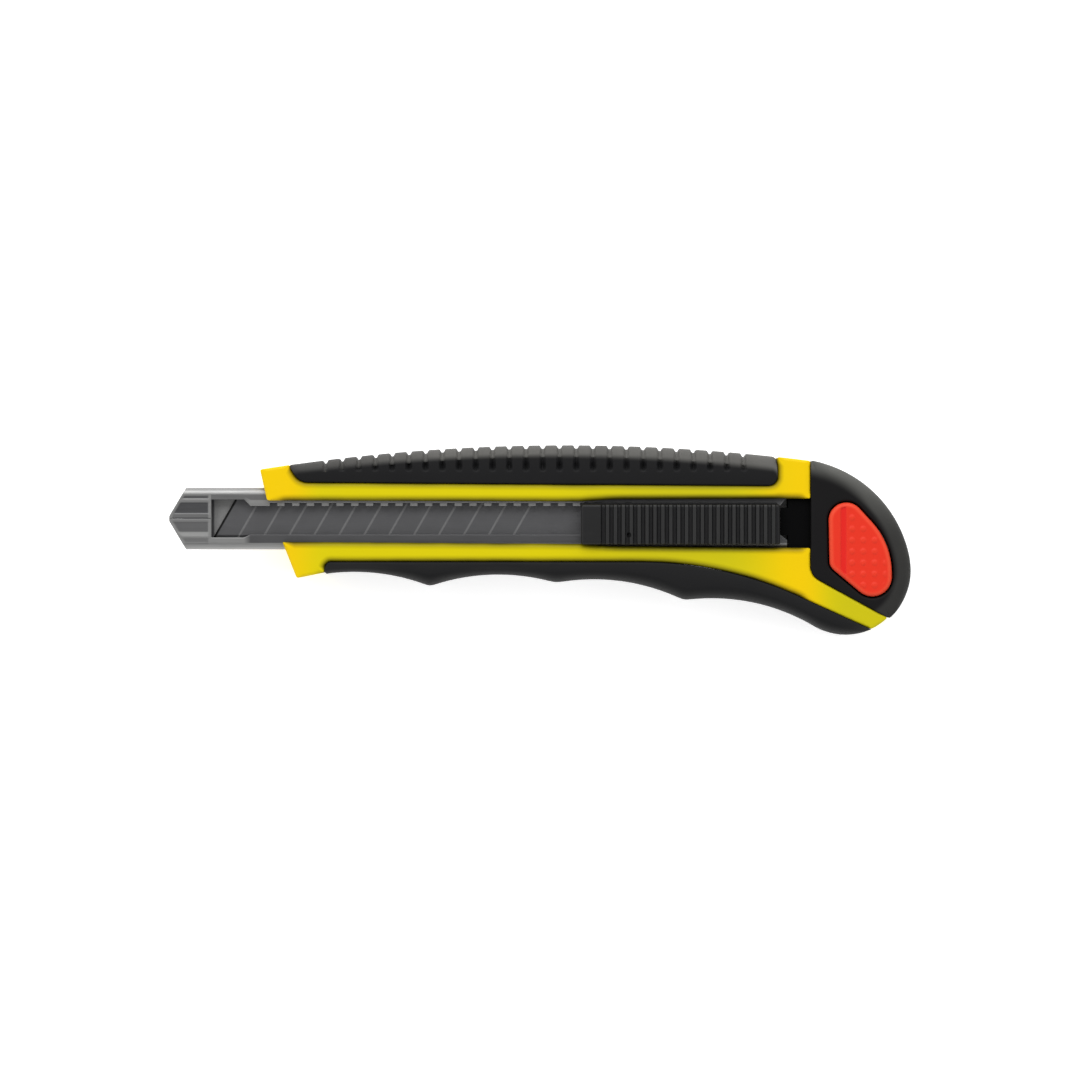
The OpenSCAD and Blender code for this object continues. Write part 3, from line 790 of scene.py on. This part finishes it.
def nose_x(y):
    """Front edge of the rail: flat at the middle, then slanting back to the shoulders."""
    slope = (SHOULDER_X - RAIL_LOW[0]) / ((RAIL_HIGH[1] - RAIL_LOW[1]) / 2 - NOSE_FLAT)
    return RAIL_LOW[0] + slope * np.maximum(np.abs(y - MID_Y) - NOSE_FLAT, 0)


def lip_stations():
    """Stations along the rail with the y of the lower and of the upper lip's edge at each one."""
    gap = 0.015
    nose = np.linspace(RAIL_LOW[0], FLAP_END, 56)
    rows = [(x, MID_Y - SEAM_HALF, MID_Y + SEAM_HALF) for x in nose]
    rows += [(x, 0.5, 8.1) for x in (FLAP_END + gap, FLAP_END + 0.4, FLAP_END + 0.6, -62.5, WINDOW_END)]
    rows += [(WINDOW_END + 1.3, LIP_Y, TOOTH_TIP), (-56, LIP_Y, TOOTH_TIP)]
    for tooth in range(TEETH - 1):
        x0 = FIRST_TOOTH + tooth * TOOTH_PITCH + TOOTH_HALF
        x1 = x0 + TOOTH_PITCH - 2 * TOOTH_HALF
        rows += [(x0 - gap, LIP_Y, TOOTH_TIP), (x0 + gap, LIP_Y, TOOTH_ROOT)]
        rows += [(x1 - gap, LIP_Y, TOOTH_ROOT), (x1 + gap, LIP_Y, TOOTH_TIP)]
    rows += [(RAIL_HIGH[0] - 1.5, LIP_Y, TOOTH_TIP), (RAIL_HIGH[0], 0.0, 8.6)]
    return np.array(rows)


def rail_side(low_lip, high_lip, sink, radius, edge, lip_steps=48):
    """One side of the folded sheet at every station, sink below the outer one.
    It is a lip with a rounded edge, then bend, wall, bend, floor, and the same again up to the other lip."""
    y0, y1 = RAIL_LOW[1] + BEND, RAIL_HIGH[1] - BEND
    z0, z1 = RAIL_LOW[2] + BEND, RAIL_HIGH[2] - BEND
    share = np.linspace(0, 1, lip_steps)[None, 1:]
    one = np.ones((len(low_lip), 1))
    round_in = edge * (1 - np.cos(np.radians(np.linspace(0, 90, 5))))[None]
    round_up = one * (RAIL_HIGH[2] - sink) - edge * (1 - np.sin(np.radians(np.linspace(0, 90, 5))))[None]
    low_lip, high_lip = low_lip[:, None], high_lip[:, None]
    parts_y = [low_lip - round_in, (low_lip - edge) * (1 - share) + y0 * share]
    parts_z = [round_up, one * (RAIL_HIGH[2] - sink) + 0 * share]
    for cy, cz, start in ((y0, z1, 90), (y0, z0, 180), (y1, z0, 270), (y1, z1, 0)):
        turn = np.radians(start + np.linspace(0, 90, 8))[None]
        parts_y.append(one * (cy + radius * np.cos(turn)))
        parts_z.append(one * (cz + radius * np.sin(turn)))
    back = share[:, ::-1]
    parts_y += [y1 * back + (high_lip + edge) * (1 - back), (high_lip + round_in)[:, ::-1]]
    parts_z += [one * (RAIL_HIGH[2] - sink) + 0 * share, round_up[:, ::-1]]
    return np.hstack(parts_y), np.hstack(parts_z)


def within(value, limits):
    return (value > limits[0]) & (value < limits[1])


def rail_rings():
    """The folded section carried along the rail, slanted to the nose at first, with its panels pressed in."""
    stations, low, high = lip_stations().T
    edge = np.where(stations < FLAP_END + 0.01, SEAM_ROUND, LIP_ROUND)[:, None]
    out_y, out_z = rail_side(low, high, 0, BEND, edge)
    in_y, in_z = rail_side(low, high, SHEET, BEND - SHEET, 0.02)
    y = np.hstack([out_y, in_y[:, ::-1]])
    z = np.hstack([out_z, in_z[:, ::-1]])
    share = np.clip((stations - RAIL_LOW[0]) / NOSE_LENGTH, 0, 1)[:, None]
    x = stations[:, None] + (nose_x(y) - RAIL_LOW[0]) * (1 - share)
    # The third column darkens the steel: the panels' darker finish, and painted shade in the seam and along the
    # creases.
    form, panel_finish_and_shade = (np.interp(y - MID_Y, FLAP_FORM[:, 0], FLAP_FORM[:, k]) for k in (1, 2))
    outer = np.arange(y.shape[1]) < out_y.shape[1]
    top = outer * (z > RAIL_HIGH[2] - 0.3) * (x < FLAP_END + 0.01)
    inside = smooth_step(0.3, 0.9, x - nose_x(y)) * (1 - smooth_step(-66.6, -66.3, x)) * top
    # Painted shade on the floor just behind the flaps, under their edges.
    behind_flaps = (x > FLAP_END) * (1 - smooth_step(FLAP_END + 0.35, FLAP_END + 0.6, x))
    corner = (1 - outer) * behind_flaps * (z < MID_Z)
    lips = outer * (z > MID_Z)
    # Painted shade on the lips and in the nose's seam.
    painted_shade = np.maximum.reduce([
        LOW_LIP_SHADE * within(y, LOW_LIP_Y) * (x > WINDOW_END),
        PAD_LIP_SHADE * within(y, PAD_LIP_Y) * smooth_step(*PAD_LIP_X, x),
        HIGH_LIP_SHADE * within(y, HIGH_LIP_Y) * within(x, HIGH_LIP_X),
        SEAM_SHADE * (np.abs(y - MID_Y) < SEAM_NEAR) * (x < FLAP_END),
    ])
    return np.dstack([x, y, z + form * inside, np.maximum(panel_finish_and_shade * inside, np.maximum(corner, lips * painted_shade))])


RAIL_CREASE = 30
rail_shell = closed(rail_rings(), ladder=True)
piece("folded_rail", [rail_shell], "handle", ["blade_rail"], rail_steel, RAIL_CREASE)

# ---------- thumb pad ----------

PAD_RIBS, PAD_SMOOTH, PAD_PITCH, RIB_W, RIB_H = 22, 4.9, 1.58, 0.8, 0.55
PAD_HEAD_Z = 13.05
PAD_STATIONS, PAD_END_ROUND, PAD_EDGE = 840, 0.5, 0.45
PAD_HOLE = (17.8, 1.0)
NECK_Y, SKIRT_Y, SKIRT_H = (0.2, 7.0), (0.2, 7.5), 0.5


def pad_rings():
    """Thumb pad: a section with rounded upper edges carried along it, its top following the ribs."""
    x = np.linspace(PAD_LOW[0], PAD_HIGH[0], PAD_STATIONS)[:, None]
    low, high = PAD_LOW[1], PAD_HIGH[1]
    end = np.minimum(np.minimum(x - PAD_LOW[0], PAD_HIGH[0] - x), PAD_END_ROUND)
    inset = PAD_END_ROUND - np.sqrt(np.maximum(PAD_END_ROUND ** 2 - (PAD_END_ROUND - end) ** 2, 0))
    along = x - PAD_LOW[0] - PAD_SMOOTH
    order = np.clip(np.floor(along / PAD_PITCH + 0.24), 0, PAD_RIBS - 1)
    away = np.abs(along - order * PAD_PITCH - RIB_W / 2)
    rib = 1 - smooth_step(RIB_W / 2 - 0.1, RIB_W / 2 + 0.14, away)
    smooth_end = 1 - smooth_step(PAD_SMOOTH - 1.0, PAD_SMOOTH - 0.7, x - PAD_LOW[0])
    top = PAD_HIGH[2] - RIB_H * (1 - np.maximum(rib, smooth_end)) - inset * 0.9
    turn = np.radians(np.linspace(180, 90, 6))[None]
    radius = PAD_EDGE
    face = np.linspace(low + radius, high - radius, 30)[None, 1:-1]
    y = np.hstack([
        low + radius + radius * np.cos(turn), face, high - radius - radius * np.cos(turn[:, ::-1])])
    z = np.hstack([
        top - radius + radius * np.sin(turn), top + 0 * face, top - radius + radius * np.sin(turn[:, ::-1])])
    y = np.broadcast_to(y, z.shape)
    hollow = np.hypot(x - PAD_HOLE[0], y - PAD_HOLE[1])
    z = z - 0.5 * (1 - smooth_step(0.3, 0.45, hollow))
    middle = (low + high) / 2
    y = middle + (y - middle) * (1 - inset / 8)
    floor = np.full((len(x), 1), PAD_HEAD_Z)
    y = np.hstack([y[:, :1], y, y[:, -1:]])
    z = np.hstack([floor, z, floor])
    # Paler on the tops of the ribs, and a little on the smooth end.
    lighter_share = np.maximum(rib, 0.3 * smooth_end) * (z > PAD_HIGH[2] - 0.2)
    return np.dstack([np.broadcast_to(x, y.shape), y, z, lighter_share])


FOOT_X = (PAD_LOW[0] + 0.4, PAD_HIGH[0] - 0.4)
piece("thumb_pad", [
    closed(pad_rings()),
    block(*FOOT_X, *NECK_Y, PAD_LOW[2], PAD_HEAD_Z + 0.1, 0.1),
    block(*FOOT_X, *SKIRT_Y, PAD_LOW[2], PAD_LOW[2] + SKIRT_H, 0.1),
], "slider", ["slider_pad"], black)

# ---------- end cap and button ----------

BUTTON_AT = np.array((64.6, -2.0))
BUTTON_DISCS = [((61.3, 3.95), 3.55), ((66.5, -7.4), 3.9), ((60.3, -4.2), 2.4)]
BUTTON_ARC_AT, BUTTON_ARC_R, BUTTON_ARC_TURN = np.array((55.3, -6.6)), 15.1, 53.4
AROUND = 720


def button_outline():
    """Envelope of three discs and one wide arc: at each angle, the point that lies furthest that way."""
    turn = np.radians(np.linspace(0, 360, AROUND, endpoint=False))
    way = np.column_stack([np.cos(turn), np.sin(turn)])
    points = [np.array(centre) + radius * way for centre, radius in BUTTON_DISCS]
    held = np.radians(np.clip((np.degrees(turn) + 90) % 360 - 90, 0, BUTTON_ARC_TURN))
    points.append(BUTTON_ARC_AT + BUTTON_ARC_R * np.column_stack([np.cos(held), np.sin(held)]))
    points = np.array(points)
    furthest = np.argmax(np.sum(points * way, axis=2), axis=0)
    return points[furthest, np.arange(AROUND)]


def by_angle(outline):
    """An outline sampled at equal angles about the middle of the button."""
    arm = outline - BUTTON_AT
    turn = np.arctan2(arm[:, 1], arm[:, 0])
    order = np.argsort(turn)
    even = np.linspace(-np.pi, np.pi, AROUND, endpoint=False)
    length = np.interp(even, turn[order], np.hypot(*arm.T)[order], period=2 * np.pi)
    return BUTTON_AT + length[:, None] * np.column_stack([np.cos(even), np.sin(even)])


def cap_outline():
    """Seam beside the handle, then the wide tail arc and the small chin arc."""
    start = np.degrees(np.arccos((CAP_EDGE_X - TAIL[0]) / TAIL_R))
    return np.vstack([
        arc(TAIL, TAIL_R, start, 9.87, 200), arc(CHIN, CHIN_R, 9.87, -49.2, 160),
        [(56.01, -8.1), (54.73, -7.18), (CAP_EDGE_X, -5.78)],
    ])


button_line = soften(resample(button_outline(), 0.1), 0.2, 0.1)
cap_line = soften(resample(cap_outline(), 0.1), 0.35, 0.1)
on_rim = (cap_line[:, 0] > CAP_EDGE_X + 1.0) & (
    (np.hypot(*(cap_line - TAIL).T) > TAIL_R - 0.2) | (np.hypot(*(cap_line - CHIN).T) > CHIN_R - 0.2))
on_rim &= cap_line[:, 1] > -13.3
cap_round = 0.4 + 1.8 * soften(on_rim.astype(float), 1.0, 0.1)
cap_ring = by_angle(cap_line)
cap_turn = np.arctan2(*(cap_line - BUTTON_AT).T[::-1])
order = np.argsort(cap_turn)
even_turn = np.linspace(-np.pi, np.pi, AROUND, endpoint=False)
cap_round = np.interp(even_turn, cap_turn[order], cap_round[order], period=2 * np.pi)
WELL_GAP, WELL_RIM, WELL_Z = 0.28, 0.5, 9.05
# Painted highlight on the cap's rim: where the chin begins, its strength at the chin and the top, how it rises,
# and its band.
CHIN_Y, CHIN_HIGHLIGHT, TOP_HIGHLIGHT, HIGHLIGHT_CURVE = -4, 0.2, 0.7, 1.8
CAP_HIGHLIGHT_Y, CAP_BAND_Y = (-6, 17), (6, 13)
CAP_BAND, CAP_BAND_SHIFT = (2.4, 3.6), 1.9
button_ring = by_angle(button_line)
well_ring = button_ring - WELL_GAP * inward(button_ring)


def cap_rings():
    """The cap: a plate with a wide round along the tail, whose face runs in to the rim of the well."""
    outside = moulded(cap_ring, 0, FACE_Z, cap_round, cap_round)
    turn = np.linspace(0, np.pi / 2, BEND_STEPS + 1)[:, None, None]
    normal = inward(well_ring)
    rim_xy = well_ring - WELL_RIM * (1 - np.sin(turn)) * normal
    rim_z = FACE_Z - WELL_RIM * (1 - np.cos(turn)) + 0 * rim_xy[..., :1]
    rim = np.dstack([rim_xy, rim_z, 0 * rim_z])
    share = np.linspace(0, 1, 14)[1:-1, None, None]
    face = outside[-1] * (1 - share) + rim[0] * share
    floor = np.column_stack([well_ring, np.full(AROUND, WELL_Z), np.zeros(AROUND)])[None]
    rings = np.concatenate([outside, face, rim, floor])
    # Painted highlight along the tail.
    rings[..., 3] = painted_cap_highlight(*rings[..., :2].T).T
    return rings


def painted_cap_highlight(x, y):
    """Painted highlight along the tail's rounded edge: a paler band, strongest at the top, on the side the lamp
    lights, fading down to the chin.
    """
    tail, chin = TAIL_R - np.hypot(x - TAIL[0], y - TAIL[1]), CHIN_R - np.hypot(x - CHIN[0], y - CHIN[1])
    inset = np.where(y > CHIN_Y, tail, np.maximum(chin, 0))
    strength = CHIN_HIGHLIGHT + TOP_HIGHLIGHT * smooth_step(*CAP_HIGHLIGHT_Y, y) ** HIGHLIGHT_CURVE
    band = CAP_BAND[0] - CAP_BAND_SHIFT * smooth_step(*CAP_BAND_Y, y)
    return strength * (1 - smooth_step(band, CAP_BAND[1], inset))


cap = piece("tail_cap", [closed(cap_rings())], "cap", ["end_cap"], cap_black)
cut(cap, [block(CAP_EDGE_X - 2, 60.65, TONGUE_Y[0] - 0.15, TONGUE_Y[1] + 0.15, 2.05, 8.95, 0.02)])

DOT_X, DOT_Y, DOT_PITCH, DOT_R, DOT_H = 62.4, 2.2, 2.25, 0.55, 0.15
BUTTON_GROOVE_X, BUTTON_GROOVE_DEPTH, BUTTON_ROUND, BUTTON_LOW = 60.7, 0.22, 0.8, 10.95
# Painted highlight on the button's rounded rim; the raised dots are a little paler.
RIM_HIGHLIGHT, DOT_SHADE = 0.6, 0.15


def button_rings():
    """The button: a rounded D that shrinks to its middle, with a groove across it, then raised dots."""
    rings = moulded(button_ring, BUTTON_LOW, BUTTON_TOP, 0.2, BUTTON_ROUND)
    count = len(rings)
    rings = towards(rings, BUTTON_AT, 70)
    x, y = rings[..., 0], rings[..., 1]
    dx = (x - DOT_X + DOT_PITCH / 2) % DOT_PITCH - DOT_PITCH / 2
    dy = (y - DOT_Y + DOT_PITCH / 2) % DOT_PITCH - DOT_PITCH / 2
    border = np.sqrt(((button_ring[None] - rings[..., :2]) ** 2).sum(-1))
    inside = smooth_step(1.0, 1.3, border) * (x > DOT_X - DOT_PITCH / 2)
    dots = DOT_H * np.exp(-(np.hypot(dx, dy) / DOT_R) ** 4) * inside
    groove = BUTTON_GROOVE_DEPTH * (1 - smooth_step(0.35, 0.75, np.abs(x - BUTTON_GROOVE_X)))
    face = (np.arange(len(rings)) >= count - 2)[:, None]
    rings[..., 2] += face * (dots - groove)
    # Painted highlight along the rim, and paler dots.
    rings[..., 3] = RIM_HIGHLIGHT * (1 - smooth_step(0.5, 1.1, border)) + DOT_SHADE * face * dots / DOT_H
    return rings


piece("red_button", [closed(button_rings())], "button", ["release_button"], red)

# ---------- floor, light and camera ----------

VIEW_WIDTH = 0.216
CAMERA_HEIGHT = 1.2
SENSOR_WIDTH = 36
FLOOR_SIDE, FLOOR_Z = 6.0, -0.0001


def glowing_floor():
    """White acrylic of a light table, lit a little from below."""
    finish = Finish("light_table", Roughness=0.7, Emission_Strength=0.5)
    finish.shader.inputs["Base Color"].default_value = (0.93, 0.93, 0.93, 1)
    finish.shader.inputs["Emission Color"].default_value = (1, 1, 1, 1)
    return finish.material


half = FLOOR_SIDE / 2
floor_mesh = bpy.data.meshes.new("floor")
corners = [(-half, -half, 0), (half, -half, 0), (half, half, 0), (-half, half, 0)]
floor_mesh.from_pydata(corners, [], [(0, 1, 2, 3)])
floor_mesh.materials.append(glowing_floor())
floor = bpy.data.objects.new("floor", floor_mesh)
bpy.context.scene.collection.objects.link(floor)
floor.location.z = FLOOR_Z


def soft_light(name, place, size, power):
    """A rectangular lamp at a place, turned to the middle of the knife."""
    lamp = bpy.data.lights.new(name, "AREA")
    lamp.shape = "RECTANGLE"
    lamp.size, lamp.size_y = size
    lamp.energy = power
    made = bpy.data.objects.new(name, lamp)
    bpy.context.scene.collection.objects.link(made)
    made.location = place
    made.rotation_euler = (-made.location).to_track_quat("-Z", "Y").to_euler()


soft_light("spine_side_lamp", (-0.15, 0.85, 0.9), (1.5, 0.9), 13.0)


def studio_dome():
    """A white tent with a dark opening above: bright from the sides, dim within a cone round the vertical."""
    world = bpy.data.worlds.new("studio")
    world.use_nodes = True
    tree = world.node_tree
    where = tree.nodes.new("ShaderNodeTexCoord")
    split = tree.nodes.new("ShaderNodeSeparateXYZ")
    fall = tree.nodes.new("ShaderNodeMapRange")
    for socket, value in TENT.items():
        fall.inputs[socket].default_value = value
    tree.links.new(where.outputs["Generated"], split.inputs[0])
    tree.links.new(split.outputs["Z"], fall.inputs["Value"])
    tree.nodes["Background"].inputs["Color"].default_value = (1, 1, 1, 1)
    tree.links.new(fall.outputs[0], tree.nodes["Background"].inputs["Strength"])
    bpy.context.scene.world = world


TENT = {"From Min": 0.82, "From Max": 0.96, "To Min": 1.05, "To Max": 0.2}
studio_dome()
bpy.context.scene.view_settings.view_transform = "Standard"

lens = bpy.data.cameras.new("camera")
lens.sensor_width = SENSOR_WIDTH
lens.lens = lens.sensor_width * CAMERA_HEIGHT / VIEW_WIDTH
camera = bpy.data.objects.new("camera", lens)
bpy.context.scene.collection.objects.link(camera)
camera.location = (0, 0, CAMERA_HEIGHT + FACE_Z * MM)
bpy.context.scene.camera = camera
